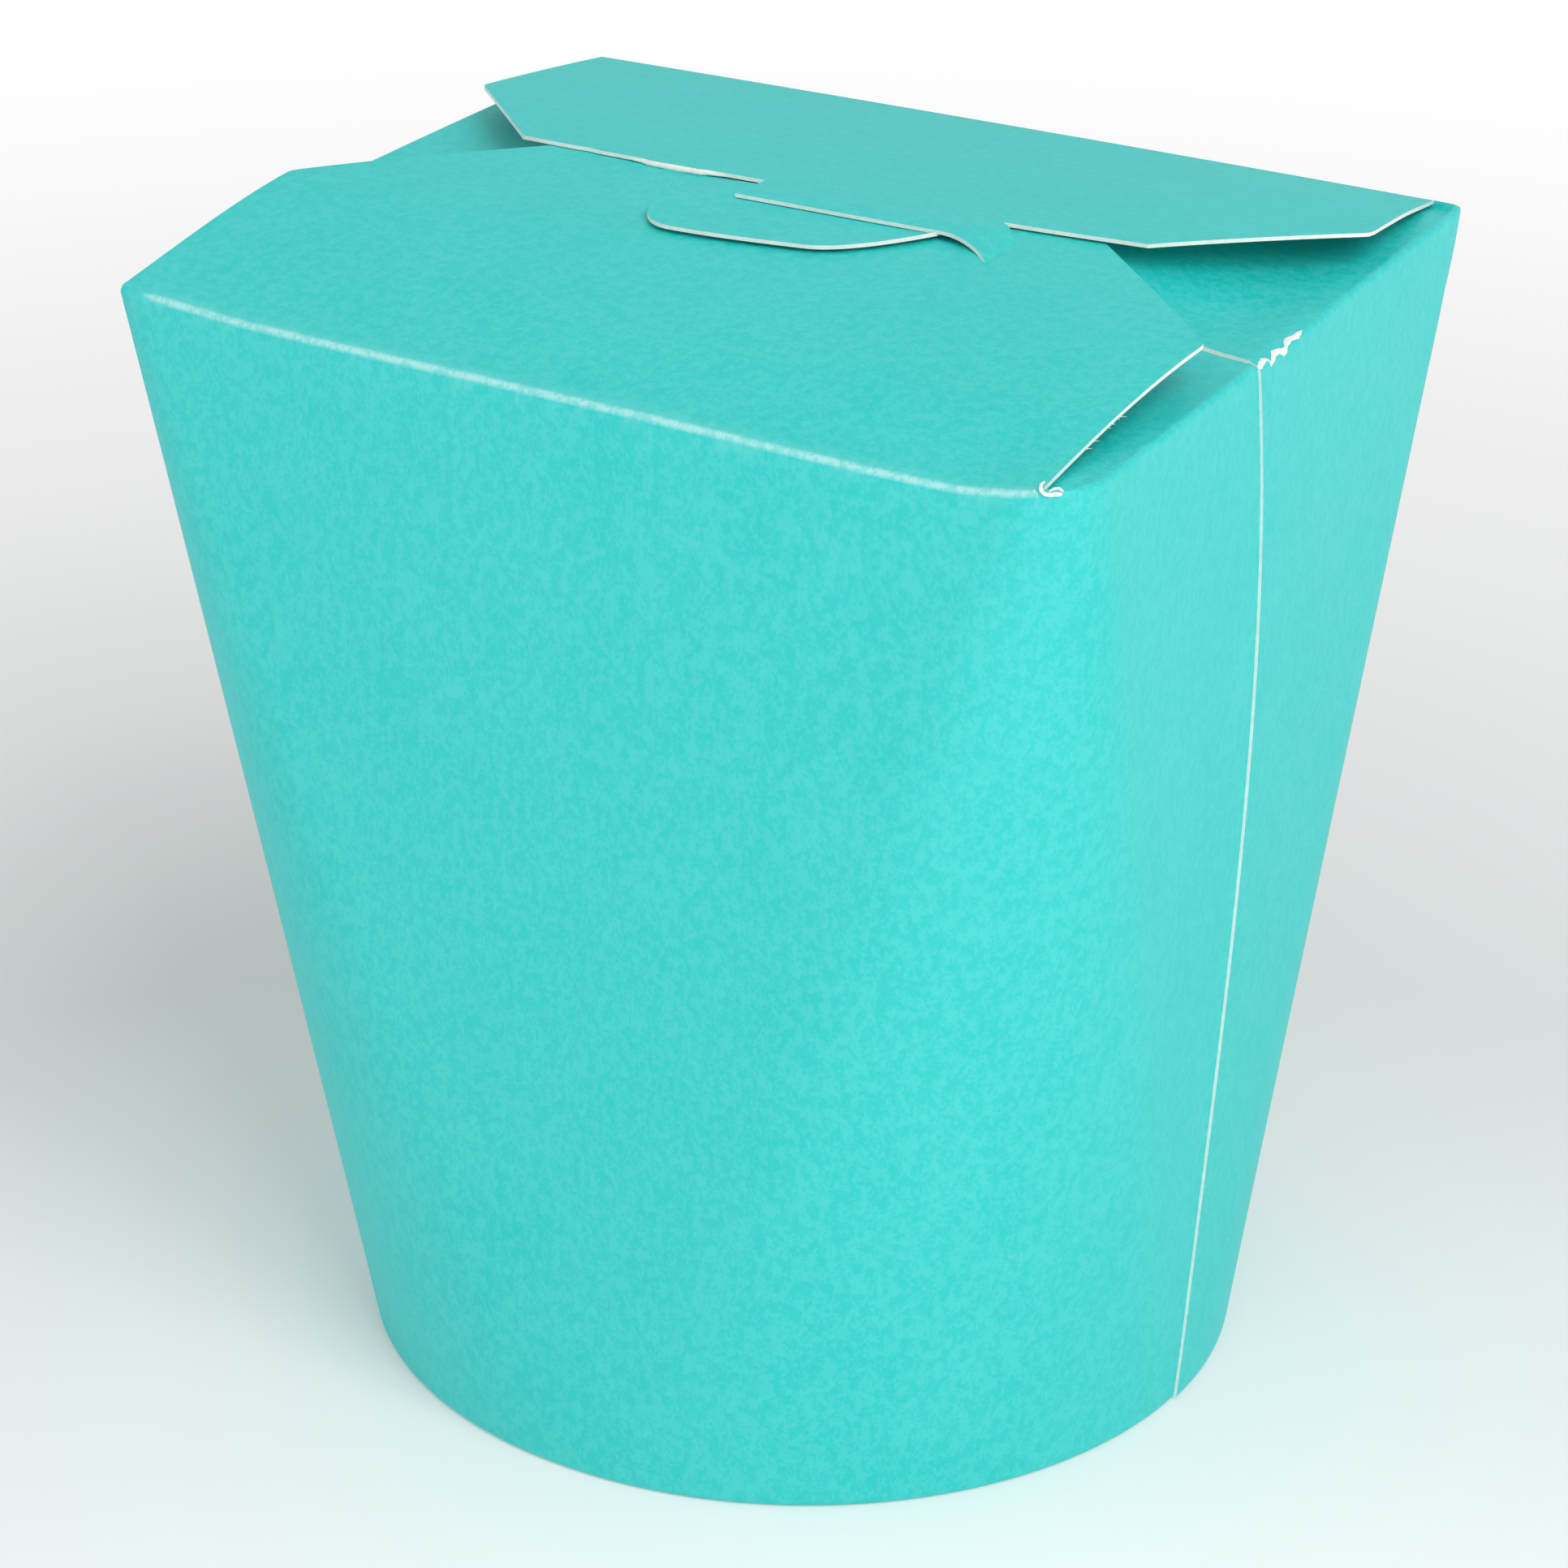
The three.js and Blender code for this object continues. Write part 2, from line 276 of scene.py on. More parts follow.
class Crease:
    """One bowed side of the rim in plan, with the roundings at its clockwise and anticlockwise ends."""

    def __init__(self, facing, half, reach, bow, corners):
        self.facing = facing
        self.radius = (half**2 + bow**2) / (2 * bow)
        self.corners = corners
        self.angles = [
            facing - math.asin((half - corners[0]) / self.radius),
            facing + math.asin((half - corners[1]) / self.radius),
        ]
        self.middle = direction(facing) * (reach + bow - self.radius)

    def corner_centre(self, end):
        """The centre of the rounding at its clockwise end, 0, or anticlockwise end, 1."""
        return self.middle + (self.radius - self.corners[end]) * direction(self.angles[end])


def creases(size):
    """The front, right, back and left creases."""
    width, depth, corners = size.rim_width, size.rim_depth, size.rim_corners
    sides = (
        (width, depth, size.front_bow),
        (depth, width, size.side_bows[0]),
        (width, depth, size.back_bow),
        (depth, width, size.side_bows[1]),
    )
    return [
        Crease((k - 1) * math.pi / 2, length / 2, span / 2, bow, (corners[k - 1], corners[k]))
        for k, (length, span, bow) in enumerate(sides)
    ]


def skew(size, place):
    """The rim isn't quite square: its front crease is turned a little and its side creases splay forward."""
    share = place.x / (size.rim_width / 2) * (0.5 - place.y / size.rim_depth)
    splay = size.side_splays[0 if place.x > 0 else 1]
    return share * Vector((splay, -size.front_skew))


def quarter_outline(size, k, corner_steps=40, side_steps=120):
    """A quarter of the rim, from corner to corner: its square outline, its skew, and its foot points."""
    sides = creases(size)
    side, before, after = sides[k], sides[k - 1], sides[(k + 1) % 4]
    first = (before.corner_centre(1) + side.corner_centre(0)) / 2
    last = (side.corner_centre(1) + after.corner_centre(0)) / 2
    start, end = side.angles
    rim, angles = [], []
    for i in range(corner_steps):
        share = i / corner_steps
        angle = lerp(side.facing - math.pi / 4, start, share)
        rim.append(first.lerp(side.corner_centre(0), share) + side.corners[0] * direction(angle))
        angles.append(angle)
    for i in range(side_steps + 1):
        angle = lerp(start, end, i / side_steps)
        rim.append(side.middle + side.radius * direction(angle))
        angles.append(angle)
    for i in range(1, corner_steps + 1):
        share = i / corner_steps
        angle = lerp(end, side.facing + math.pi / 4, share)
        rim.append(side.corner_centre(1).lerp(last, share) + side.corners[1] * direction(angle))
        angles.append(angle)
    foot = [size.base_radius * direction(angle) for angle in angles]
    return np.array(rim), np.array([skew(size, place) for place in rim]), np.array(foot)


def seam_place(share):
    """The y of the lapping edge at a share of the wall's height."""
    handles = ((-3.4, 0), (-1.2, 0), (4.4, 0), (-8.0, 0))
    return MM * bezier(handles, share).x


class Wall:
    """The wall as columns round the box: where each one stands at any height."""

    def __init__(self, size):
        self.quarters = [quarter_outline(size, k) for k in range(4)]
        half = BACK_TIPS[1][0]
        neck = [lerp(*BACK_ROOTS, (x + half) / (2 * half)) for x in (TONGUE_RIGHT, TONGUE_LEFT)]
        marks = (
            ((0, FRONT_ROOTS[0]), (0, FRONT_ROOTS[1])),
            ((1, None),),
            ((0, BACK_ROOTS[1]), (0, neck[0]), (0, neck[1]), (0, BACK_ROOTS[0])),
            (),
        )
        steps = ((6, 60, 6), (30, 36), (6, 18, 34, 34, 6), (60,))
        self.marks = [
            [0.0, *[self.mark_share(k, axis, at, 1.0) for axis, at in marks[k]], 1.0]
            for k in range(4)
        ]
        self.columns, self.first = [], {}
        for k, counts in enumerate(steps):
            for n, count in enumerate(counts):
                self.first[(k, n)] = len(self.columns)
                self.columns += [(k, n, i / count) for i in range(count)]
                if (k, n) == (1, 0):
                    self.columns.append((k, n, 1.0))
        self.columns.append((0, 0, 0.0))

    def section(self, k, share):
        """A quarter in plan at a share of the rim's height, and the length along it."""
        rim, turned, foot = self.quarters[k]
        points = foot * (1 - share) + rim * share + turned * share**FLARE
        steps = np.hypot(*np.diff(points, axis=0).T)
        return points, np.concatenate([[0], np.cumsum(steps)])

    def mark_share(self, k, axis, at, share):
        """How far along its quarter a mark lies; a mark without a place is the seam."""
        points, length = self.section(k, share)
        place = seam_place(share) if at is None else at * MM
        order = np.argsort(points[:, axis])
        return float(np.interp(place, points[order, axis], length[order]) / length[-1])

    def place(self, share):
        """Plan points of all columns at a share of the rim's height."""
        result = []
        sections = [self.section(k, share) for k in range(4)]
        marks = [list(m) for m in self.marks]
        marks[1][1] = self.mark_share(1, 1, None, share)
        for k, n, part in self.columns:
            points, length = sections[k]
            along = lerp(marks[k][n], marks[k][n + 1], part) * length[-1]
            result.append(Vector([np.interp(along, length, points[:, axis]) for axis in (0, 1)]))
        return result

    @property
    def seam(self):
        """The first column of the lapping sheet; the one before it is the end of the sheet it laps over."""
        return self.first[(1, 1)]

    def lap(self, column):
        """How far a column stands off the wall, as a share of the board's thickness."""
        past = column - self.seam
        return 1 - ease(past / LAP_COLUMNS) if 0 <= past <= LAP_COLUMNS else 0.0


def sheet_grid(bm, rows, bare_after=None):
    """Adds a grid of faces through rows of points; the faces after one column can be bare board."""
    count, height = len(rows[0]), len(rows)
    made = bmesh.ops.create_grid(bm, x_segments=count - 1, y_segments=height - 1, size=1)["verts"]
    grid = [[None] * count for _ in range(height)]
    for vert in made:
        i = round((vert.co.x + 1) / 2 * (count - 1))
        j = round((vert.co.y + 1) / 2 * (height - 1))
        grid[j][i] = vert
    for row, points in zip(grid, rows):
        for vert, point in zip(row, points):
            vert.co = point
    for vert in made:
        for face in vert.link_faces:
            face.smooth = True
    if bare_after is not None:
        for row in grid:
            shared = set(row[bare_after].link_faces) & set(row[bare_after + 1].link_faces)
            for face in shared:
                face.material_index = BARE
    return grid


def front_height(y, start=FRONT_CREASE):
    """Height in mm of the front flap over the rim at y, for a column whose crease is at y = start."""
    shoulder, tip = FRONT_SHOULDERS[0][1], FRONT_TIPS[0][1]
    if y <= shoulder:
        return hermite(0, FRONT_RISE[0], 5.0, 2.0, max(0.0, (y - start) / (shoulder - start)))
    if y <= tip:
        return hermite(FRONT_RISE[0], FRONT_RISE[1], 1.25, 0.1, (y - shoulder) / (tip - shoulder))
    return hermite(FRONT_RISE[1], FRONT_RISE[2], 0.0, -0.7, (y - tip) / (FRONT_REAR - tip))


def back_height(x, y, start=BACK_CREASE):
    """Height in mm of the back flap over the rim at x, y, for a column whose crease is at y = start."""
    lifted = BACK_LIFT * ease((x - 12) / 26) * ease((start - y) / 12)
    if y >= BACK_MIDDLE:
        return hermite(0, BACK_RISE[0], 3.7, 3.0, max(0.0, (start - y) / (start - BACK_MIDDLE))) + lifted
    share = (BACK_MIDDLE - y) / (BACK_MIDDLE - BACK_TIP)
    crown = CROWN * bell(x, 3, 18, 4) * share**2
    return hermite(BACK_RISE[0], BACK_RISE[1], 2.4, 1.6, share) + crown + lifted


def side_edge(root, shoulder, tip, y, start, sway=1.0, sharp=4.5):
    """The x in mm of one side of a flap at y, with a slightly rounded shoulder."""
    way = max(0.0, (y - start) / (shoulder[1] - start))
    rising = abs(lerp(root, shoulder[0], way**sway))
    falling = abs(lerp(shoulder[0], tip[0], (y - shoulder[1]) / (tip[1] - shoulder[1])))
    rounded = min(rising, falling) - math.log(1 + math.exp(-sharp * abs(rising - falling))) / sharp
    return math.copysign(rounded, root)


def flap_x(share, roots, shoulders, tips, y, start, sways=(1.0, 1.0)):
    """The x in mm of a flap's column, given as its share of the way from the left side to the right one."""
    sides = [side_edge(*corners, y, start, sway) for *corners, sway in zip(roots, shoulders, tips, sways)]
    return lerp(*sides, share)


def free_edge(x):
    """The y of the back flap's free edge, frayed forward on one stretch and nicked beside it."""
    frayed = 0.24 * ease((x + 20) / 0.8) * ease((-12.6 - x) / 0.8)
    nick = 0.2 * bell(x, -26.6, 0.8)
    tip = BACK_TIPS[1 if x > 0 else 0]
    return BACK_TIP + (tip[1] - BACK_TIP) * (x / tip[0]) ** 2 - frayed + nick


def fillet(before, corner, after, steps):
    """Points that round a corner off, without the two ends."""
    shares = [i / steps for i in range(1, steps)]
    return [before * (1 - s) ** 2 + corner * 2 * s * (1 - s) + after * s * s for s in shares]


class Blank:
    """The folded board blank: wall, top flaps and tongue, joined at rounded creases."""

    fold_steps = 8

    def __init__(self, size):
        self.size = size
        self.wall = Wall(size)
        self.bm = bmesh.new()
        self.worn = self.bm.verts.layers.float.new("worn")
        self.rim = self.wall.place(1.0)
        self.sag = [MM * front_sag(plan.x / MM, plan.y / MM) for plan in self.rim]
        self.edge = self.standing(1 - size.fold / size.rim_height)

    def lifted(self, column, plan):
        """A plan point moved out by as much as the lapping sheet stands off the wall there."""
        return plan + plan.normalized() * LAP_LIFT * self.size.board * self.wall.lap(column)

    def column_share(self, c, roots):
        """How far a column stands from the left root of a flap to its right one."""
        return (self.rim[c].x / MM - roots[0]) / (roots[1] - roots[0])

    def standing(self, share):
        """The wall's outer face at a share of the rim's height."""
        height = share * self.size.rim_height
        plans = self.wall.place(share)
        return [
            Vector((*self.lifted(c, plan), height - self.sag[c] * share**12))
            for c, plan in enumerate(plans)
        ]

    def foot_rows(self, roll=FOOT_ROLL):
        """The wall's lower edge, rolled inwards under the base disc."""
        start = self.standing(roll / self.size.rim_height)

        def rolled(point, inward, height):
            plan = Vector(point[:2])
            return Vector((*(plan - plan.normalized() * inward), height))

        depth = self.size.foot_depth
        rows = [[rolled(p, 2 * roll, part * depth) for p in start] for part in (0.9, 2 / 3, 0.4)]
        for i in range(9):
            turn = math.pi * (1 - i / 8)
            inward, height = roll * (1 - math.cos(turn)), roll * (1 - math.sin(turn))
            rows.append([rolled(p, inward, height) for p in start])
        return rows

    def add_wall(self, count=44):
        """The wall with its rolled foot, up to where the creases begin."""
        first = FOOT_ROLL / self.size.rim_height
        last = 1 - self.size.fold / self.size.rim_height
        rows = self.foot_rows() + [self.standing(lerp(first, last, i / count)) for i in range(1, count)]
        rows.append(self.edge)
        sheet_grid(self.bm, rows, bare_after=self.wall.seam - 1)

    def add_flap(self, columns, inward, path, worn):
        """A flap on a run of columns: round the crease, then along the path of each column."""
        grid = []
        for c in columns:
            corner = Vector((*self.lifted(c, self.rim[c]), self.size.rim_height - self.sag[c]))
            start = corner + inward(c).normalized() * self.size.fold
            rounding = fillet(self.edge[c], corner, start, self.fold_steps)
            grid.append([self.edge[c], *rounding, start, *path(c, corner)])
        bare_after = columns.index(self.wall.seam) - 1 if self.wall.seam in columns else None
        made = sheet_grid(self.bm, [list(row) for row in zip(*grid)], bare_after)
        ridge = self.fold_steps // 2
        for row in made:
            for i, vert in enumerate(row):
                away = (vert.co - made[ridge][i].co).length
                vert[self.worn] = worn(i / (len(row) - 1)) * max(0.0, 1 - away / WORN_WIDTH)

    def add_front_flap(self):
        """The front flap, with rows close by the crease and the shoulders."""
        first, last = self.wall.first[(0, 1)], self.wall.first[(0, 2)]
        shoulder = FRONT_SHOULDERS[0][1]
        to_shoulder = [0.04, 0.055, 0.075, *np.linspace(0.1, 0.93, 19), 0.95, 0.965, 0.98, 0.99, 1.0]
        beyond = [-15.8, -15.5, -15.1, -14.6, *np.linspace(-14, FRONT_REAR, 23)]

        def path(c, corner):
            start = corner.y / MM
            share = self.column_share(c, FRONT_ROOTS)
            points = []
            for y in [lerp(start, shoulder, p) for p in to_shoulder] + beyond:
                x = flap_x(share, FRONT_ROOTS, FRONT_SHOULDERS, FRONT_TIPS, y, start, FRONT_SWAYS)
                height = front_height(y, start) - self.sag[c] / MM * ease(1 - (y - start) / 14)
                points.append(over_rim(self.size, (x, y), height))
            return points

        def worn(share):
            return 0.45 + 0.55 * ease(share / 0.045)

        self.add_flap(list(range(first, last + 1)), lambda c: Vector((0, 1, 0.17)), path, worn)

    def back_point(self, c, y, start):
        """A point of the back flap on one column."""
        x = flap_x(self.column_share(c, BACK_ROOTS), BACK_ROOTS, BACK_SHOULDERS, BACK_TIPS, y, start)
        return over_rim(self.size, (x, y), back_height(x, y, start))

    def back_tip(self, c):
        """The y in mm where a column of the back flap ends, and the y of its crease."""
        x = lerp(BACK_TIPS[0][0], BACK_TIPS[1][0], self.column_share(c, BACK_ROOTS))
        return free_edge(x), self.rim[c].y / MM

    def add_back_flap(self):
        """The back flap, with rows close by the crease and the shoulders."""
        first, last = self.wall.first[(2, 1)], self.wall.first[(2, 4)]
        shoulder = BACK_SHOULDERS[1][1]
        to_shoulder = [0.05, 0.08, *np.linspace(0.12, 1, 18)]
        beyond = [22.15, 22.0, 21.8, 21.4, 21.0, 20.6, 20.1, 19.7, 19.5, 19.3, 19.1, 18.8]
        even_from = 18.4

        def path(c, corner):
            end, start = self.back_tip(c)
            ys = [lerp(start, shoulder, p) for p in to_shoulder] + beyond
            ys += [lerp(even_from, end, p) for p in np.linspace(0, 1, 18)]
            return [self.back_point(c, y, start) for y in ys]

        self.add_flap(list(range(first, last + 1)), lambda c: Vector((0, -1, 0.16)), path, lambda share: 0.3)

    def add_tongue(self, rows=16):
        """The tongue goes on from the back flap's free edge and sinks to the right, under the front flap."""
        first, last = self.wall.first[(2, 2)], self.wall.first[(2, 3)]
        columns = list(range(first, last + 1))
        back = [self.back_point(c, *self.back_tip(c)) for c in columns]
        count = len(columns) - 1
        grid = [back]
        for j in range(1, rows + 1):
            t = j / rows
            row = []
            for i, root in enumerate(back):
                share = i / count
                plan = tongue_plan(1 - share, t, root / MM)
                sunk = TONGUE_SINK * max(0.0, (plan.x - TONGUE_BEND) / 8) ** 2.2
                hump = TONGUE_HUMP * bell(plan.x, 17.5, 2)
                held = TONGUE_HELD * ease(1.5 * t) * ease(1 - share / 0.06)
                over = TONGUE_OVER - sunk + hump - held
                height = self.size.rim_height / MM + front_height(plan.y) + over
                row.append(MM * Vector((*plan, lerp(root.z / MM, height, ease(1.2 * t)))))
            grid.append(row)
        sheet_grid(self.bm, grid)

    def add_side_flap(self, side):
        """A side flap, right 1 or left -1, from crease to crease and in under the other flaps."""
        wall = self.wall
        if side == 1:
            columns = list(range(wall.first[(0, 2)], wall.first[(2, 1)] + 1))
            bend, bend_goal = columns.index(wall.seam) / (len(columns) - 1), SIDE_BEND
        else:
            columns = [*range(wall.first[(2, 4)], len(wall.columns) - 1), *range(wall.first[(0, 1)] + 1)]
            bend, bend_goal = 0.5, 0.0

        def goal(c):
            part = columns.index(c) / (len(columns) - 1)
            if part < bend:
                y = lerp(-SIDE_REACH, bend_goal, part / bend)
            else:
                y = lerp(bend_goal, SIDE_REACH, (part - bend) / (1 - bend))
            return MM * Vector((side * SIDE_INNER, side * y, 0))

        def inward(c):
            away = goal(c) - Vector((*self.rim[c], 0))
            return away.normalized() + Vector((0, 0, -0.04))

        def path(c, corner):
            end = goal(c)
            lift = LAP_LIFT * self.size.board * wall.lap(c)
            points = []
            for p in [0.035, 0.05, 0.07, *np.linspace(0.1, 1, 26)]:
                plan = Vector(corner[:2]).lerp(Vector(end[:2]), p)
                height = self.side_height(plan.x / MM, plan.y / MM, p) * MM - self.sag[c] * ease(1 - 4 * p)
                points.append(Vector((*plan, self.size.rim_height + height + lift)))
            return points

        self.add_flap(columns, inward, path, lambda share: 0.2)

    def side_height(self, x, y, p):
        """Height in mm of a side flap over the rim: a shallow dip, then up to the flaps that press on it."""
        free = -0.1 - 0.5 * ease(p / 0.3) + SIDE_RISE * ease((p - 0.1) / 0.9)
        over = front_height(y) if y < BACK_TIP else back_height(x, y)
        room = over - SIDE_UNDER * self.size.board / MM
        return min(free, max(room, SIDE_LOWEST))

    def finished(self):
        """The whole blank with its thickness; no bare board shows at the front left corner."""
        bmesh.ops.remove_doubles(self.bm, verts=self.bm.verts, dist=1e-6)
        thicken(self.bm, self.size.board)
        corner = self.rim[self.wall.first[(0, 0)]].to_3d() + Vector((0, 0, self.size.rim_height))
        for face in self.bm.faces:
            if (face.calc_center_median() - corner).length < 4 * MM:
                face.material_index = PRINTED
        return self.bm


def tongue_plan(s, t, root):
    """The tongue in plan: s runs from left to right, t from its root to its front edge."""
    front = tongue_front(s)
    straight = Vector((TONGUE_RIGHT, BACK_TIP)).lerp(tongue_front(1), t)
    right = bezier(((TONGUE_RIGHT, BACK_TIP), (21.9, 0.5), (24.0, -3.0), tongue_front(1)), t)
    return root.to_2d().lerp(front, t) + (right - straight) * s


def tongue_front(s):
    """The tongue's front edge: straight, then curving forward into its ear."""
    straight = 0.7
    if s <= straight:
        return Vector((lerp(TONGUE_LEFT, TONGUE_BEND, s / straight), TONGUE_FRONT))
    handles = ((TONGUE_BEND, TONGUE_FRONT), (18.6, -4.0), (21.6, -5.6), (23.3, -8.6))
    return bezier(handles, (s - straight) / (1 - straight))


def thicken(bm, thickness):
    """Gives an open sheet its thickness on the inside, with bare cut faces round its edges."""
    bm.normal_update()
    made = bmesh.ops.extrude_face_region(bm, geom=bm.faces[:], use_keep_orig=True)["geom"]
    fresh = {item for item in made if isinstance(item, bmesh.types.BMVert)}
    for vert in fresh:
        vert.co -= vert.normal * thickness
    for face in bm.faces:
        inner = sum(vert in fresh for vert in face.verts)
        if 0 < inner < len(face.verts):
            face.material_index = BARE
    bmesh.ops.recalc_face_normals(bm, faces=bm.faces)
    bm.normal_update()
    keep_sharp(bm)


def keep_sharp(bm):
    """Shades the mesh smooth across all but its sharp edges."""
    for edge in bm.edges:
        edge.smooth = edge.calc_face_angle(0.0) < SHARP


def add_piece(name, bm, materials, node=None):
    """Makes an object of a finished mesh that rides on the box, in place of a CAD node if one is named."""
    mesh = bpy.data.meshes.new(name)
    # A fixed order, so that each run finds the same nearest faces
    way = Vector((1, 13.7, 171.3))
    bm.verts.sort(key=lambda vert: vert.co.dot(way))
    bm.faces.sort(key=lambda face: face.calc_center_median().dot(way))
    bm.to_mesh(mesh)
    bm.free()
    for material in materials:
        mesh.materials.append(material)
    piece = bpy.data.objects.new(name, mesh)
    bpy.context.scene.collection.objects.link(piece)
    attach(piece, BODY)
    if node:
        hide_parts(node)


def strand(bm, centres, radii, sides=8):
    """A closed strand of board fibre along a path, with its own radius at each point."""
    rows = []
    for i, (centre, radius) in enumerate(zip(centres, radii)):
        ahead = centres[min(i + 1, len(centres) - 1)] - centres[max(i - 1, 0)]
        turned = ahead.to_track_quat("Z", "X")
        ring = [2 * math.pi * k / sides for k in range(sides + 1)]
        rows.append([centre + turned @ (radius * Vector((math.cos(a), math.sin(a), 0))) for a in ring])
    before = set(bm.verts)
    sheet_grid(bm, rows)
    made = [vert for vert in bm.verts if vert not in before]
    bmesh.ops.remove_doubles(bm, verts=made, dist=1e-7)
    made = [vert for vert in bm.verts if vert not in before]
    border = [edge for vert in made for edge in vert.link_edges if edge.is_boundary]
    bmesh.ops.holes_fill(bm, edges=list(set(border)), sides=sides)
    bmesh.ops.recalc_face_normals(bm, faces=list({face for vert in made for face in vert.link_faces}))


def noise_node(tree, coordinates, scale, detail, roughness):
    """Noise with that many lumps to the metre."""
    node = tree.nodes.new("ShaderNodeTexNoise")
    node.inputs["Scale"].default_value = scale
    node.inputs["Detail"].default_value = detail
    node.inputs["Roughness"].default_value = roughness
    tree.links.new(coordinates, node.inputs["Vector"])
    return node.outputs["Fac"]


def math_node(tree, operation, a, b, clamp=False):
    """Two sockets or numbers put through a Math node."""
    node = tree.nodes.new("ShaderNodeMath")
    node.operation = operation
    node.use_clamp = clamp
    for socket, value in zip(node.inputs, (a, b)):
        if isinstance(value, (int, float)):
            socket.default_value = value
        else:
            tree.links.new(value, socket)
    return node.outputs[0]


def weighted(tree, *parts, clamp=False):
    """The sum of two values, each given with its weight."""
    weighed = [math_node(tree, "MULTIPLY", value, weight) for value, weight in parts]
    return math_node(tree, "ADD", *weighed, clamp=clamp)


def range_node(tree, value, low, high, to_low=0.0, to_high=1.0):
    """A value mapped from one range to another and held inside it."""
    node = tree.nodes.new("ShaderNodeMapRange")
    tree.links.new(value, node.inputs["Value"])
    for label, number in (("From Min", low), ("From Max", high), ("To Min", to_low), ("To Max", to_high)):
        node.inputs[label].default_value = number
    return node.outputs["Result"]


def grain_group():
    """Paper grain: pale flecks, slow clouds and the height of the fibres."""
    if "Paper grain" in bpy.data.node_groups:
        return bpy.data.node_groups["Paper grain"]
    group = bpy.data.node_groups.new("Paper grain", "ShaderNodeTree")
    for label in ("Flecks", "Cloud", "Height"):
        group.interface.new_socket(label, in_out="OUTPUT", socket_type="NodeSocketFloat")
    end = group.nodes.new("NodeGroupOutput")
    stretched = group.nodes.new("ShaderNodeVectorMath")
    stretched.operation = "MULTIPLY"
    stretched.inputs[1].default_value = (1, 1, 0.75)
    group.links.new(group.nodes.new("ShaderNodeTexCoord").outputs["Object"], stretched.inputs[0])
    where = stretched.outputs["Vector"]
    fine = noise_node(group, where, scale=2800, detail=3, roughness=0.6)
    coarse = noise_node(group, where, scale=950, detail=4, roughness=0.6)
    cloud = noise_node(group, where, scale=130, detail=3, roughness=0.5)
    mixed = weighted(group, (fine, 0.45), (coarse, 0.55))
    group.links.new(range_node(group, mixed, 0.44, 0.56), end.inputs["Flecks"])
    group.links.new(range_node(group, cloud, 0.3, 0.7), end.inputs["Cloud"])
    group.links.new(mixed, end.inputs["Height"])
    return group


def mix_colours(tree, factor, a, b):
    """Mixes two colours, each a socket or a plain colour."""
    node = tree.nodes.new("ShaderNodeMix")
    node.data_type = "RGBA"
    sockets = [s for s in node.inputs if s.type == "RGBA"]
    factor_socket = next(s for s in node.inputs if s.name == "Factor" and s.type == "VALUE")
    for socket, value in zip((factor_socket, *sockets), (factor, a, b)):
        if isinstance(value, bpy.types.NodeSocket):
            tree.links.new(value, socket)
        else:
            socket.default_value = (*value, 1)
    return next(s for s in node.outputs if s.type == "RGBA")


def new_material(name):
    """A new material with its node tree and its shader."""
    material = bpy.data.materials.new(name)
    material.use_nodes = True
    return material, material.node_tree, material.node_tree.nodes["Principled BSDF"]


def grain_node(tree):
    """The paper grain, placed in a material."""
    node = tree.nodes.new("ShaderNodeGroup")
    node.node_tree = grain_group()
    return node


def board_material(looks):
    """The printed face of the board, worn pale along its folds."""
    if "Printed board" in bpy.data.materials:
        return bpy.data.materials["Printed board"]
    material, tree, shader = new_material("Printed board")
    grain = grain_node(tree)
    worn = tree.nodes.new("ShaderNodeAttribute")
    worn.attribute_name = "worn"
    flecks = weighted(tree, (grain.outputs["Flecks"], 0.75), (grain.outputs["Cloud"], 0.25))
    printed = mix_colours(tree, flecks, looks.teal, looks.pale)
    ridge = range_node(tree, worn.outputs["Fac"], 0.79, 0.95)
    halo = math_node(tree, "POWER", worn.outputs["Fac"], 3.0)
    mottled = math_node(tree, "MULTIPLY", ridge, range_node(tree, flecks, 0.3, 0.6, 0.45, 1.0))
    rubbed = weighted(tree, (mottled, 0.8), (halo, 0.28), clamp=True)
    colour = mix_colours(tree, rubbed, printed, looks.scuffed)
    tree.links.new(colour, shader.inputs["Base Color"])
    shader.inputs["Specular IOR Level"].default_value = looks.shine
    tree.links.new(
        range_node(tree, flecks, 0, 1, looks.roughness - 0.05, looks.roughness + 0.05),
        shader.inputs["Roughness"],
    )
    bump = tree.nodes.new("ShaderNodeBump")
    bump.inputs["Strength"].default_value = 1.0
    bump.inputs["Distance"].default_value = looks.grain
    tree.links.new(grain.outputs["Height"], bump.inputs["Height"])
    tree.links.new(bump.outputs["Normal"], shader.inputs["Normal"])
    return material


def bare_material(looks):
    """The undyed core of the board, where it is cut or torn."""
    if "Bare board" in bpy.data.materials:
        return bpy.data.materials["Bare board"]
    material, tree, shader = new_material("Bare board")
    dull = tuple(0.93 * channel for channel in looks.bare)
    colour = mix_colours(tree, grain_node(tree).outputs["Flecks"], dull, looks.bare)
    tree.links.new(colour, shader.inputs["Base Color"])
    shader.inputs["Roughness"].default_value = 0.8
    return material


def board_materials():
    """The materials of a board piece, in the order of PRINTED and BARE."""
    looks = bpy.context.scene.noodle_box_looks
    return [board_material(looks), bare_material(looks)]


class NOODLEBOX_OT_blank(bpy.types.Operator):
    """Fold the blank: the tapering wall with its rolled foot, the four top flaps and the tongue"""

    bl_idname = "noodlebox.blank"
    bl_label = "Blank"

    def execute(self, context):
        blank = Blank(context.scene.noodle_box_sizes)
        blank.add_wall()
        blank.add_front_flap()
        blank.add_back_flap()
        blank.add_tongue()
        blank.add_side_flap(1)
        blank.add_side_flap(-1)
        add_piece("carton_board", blank.finished(), board_materials(), "carton")
        return {"FINISHED"}


